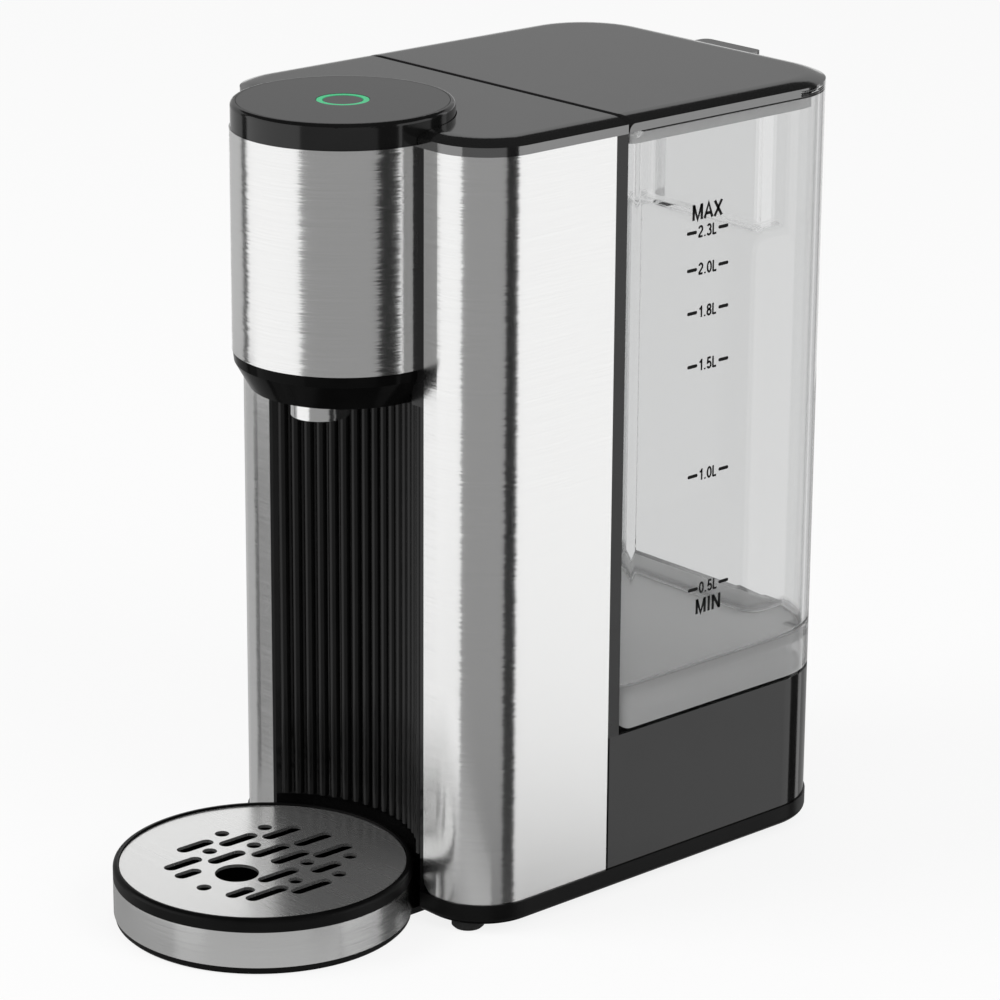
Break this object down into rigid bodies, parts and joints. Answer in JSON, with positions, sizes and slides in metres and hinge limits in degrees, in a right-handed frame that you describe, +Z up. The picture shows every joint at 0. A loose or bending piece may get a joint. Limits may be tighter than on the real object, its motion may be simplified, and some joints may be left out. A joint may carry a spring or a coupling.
{
  "type": "hot water dispenser",
  "caption": "Countertop hot water dispenser: steel-clad body, half-round head with lit button and nozzle, fluted cup bay, round drip tray and clear lift-off tank with hinged lid.",
  "frame": {"origin": "on the surface it stands on, under the middle of the part's box", "axes": "+Z up, the cup bay and nozzle face -Y, +X to the right seen from the front"},
  "size_m": [0.1458, 0.288, 0.2971],
  "materials": {
    "black_gloss": "polished moulded black",
    "black_satin": "satin moulded black",
    "steel": "brushed stainless sheet",
    "clear_tank": "clear moulded, polished",
    "light_ring": "lit green light guide",
    "rubber": "soft black rubber",
    "zinc_steel": "plated steel",
    "white_plastic": "white moulded plastic",
    "heater_alloy": "cast, plain",
    "circuit_board": "green laminate"
  },
  "bodies": {
    "housing": {"top_cover": "black_gloss", "cap_ring": "black_gloss", "head_base": "black_gloss", "tank_base": "black_gloss", "control_disc": "black_gloss", "front_panel": "black_gloss", "base_pan": "black_satin", "spine_frame": "black_satin", "head_shell": "black_satin", "spout_insert": "black_satin", "cord_gland": "black_satin", "tank_socket": "black_satin", "pump_head": "black_satin", "heater_caps": "black_satin", "tact_switch": "black_satin", "side_panel_left": "steel", "side_panel_right": "steel", "head_sleeve": "steel", "nozzle": "steel", "light_ring": "light_ring", "feet": "rubber", "pump_mount": "rubber", "socket_gasket": "rubber", "suction_hose": "rubber", "pressure_hose": "rubber", "hot_hose": "rubber", "base_screws": "zinc_steel", "heater_brackets": "zinc_steel", "pump_motor": "zinc_steel", "thermal_cutouts": "zinc_steel", "heater_body": "heater_alloy", "control_board": "circuit_board", "power_board": "circuit_board"},
    "tank": {"tank": "clear_tank", "hinge_pins": "zinc_steel", "valve_body": "white_plastic", "tank_filter": "white_plastic", "valve_spring": "zinc_steel"},
    "lid": {"tank_lid": "black_gloss"},
    "poppet": {"valve_poppet": "white_plastic", "valve_seal": "rubber"},
    "tray": {"tray_pan": "black_satin", "tray_band": "steel", "tray_rim": "black_satin"},
    "grille": {"tray_grille": "steel"},
    "button": {"dispense_button": "black_gloss", "switch_plunger": "black_satin"}
  },
  "joints": [
    {"name": "tank_lift", "type": "slide", "parent": "housing", "child": "tank", "axis": [0, 0, 1], "range_m": [0, 0.24]},
    {"name": "lid_hinge", "type": "hinge", "parent": "tank", "child": "lid", "pos_m": [0, 0.02328, 0.289], "axis": [1, 0, 0], "range_deg": [0, 88]},
    {"name": "poppet_lift", "type": "slide", "parent": "tank", "child": "poppet", "axis": [0, 0, 1], "range_m": [0, 0.0025], "stiffness_N_per_m": 150, "springref_m": -0.004, "deforming": ["valve_spring"]},
    {"name": "tray_slide", "type": "slide", "parent": "housing", "child": "tray", "axis": [0, -1, 0], "range_m": [0, 0.12]},
    {"name": "grille_lift", "type": "slide", "parent": "tray", "child": "grille", "axis": [0, 0, 1], "range_m": [0, 0.03]},
    {"name": "button_press", "type": "slide", "parent": "housing", "child": "button", "axis": [0, 0, -1], "range_m": [0, 0.001], "stiffness_N_per_m": 900, "springref_m": -0.001}
  ]
}
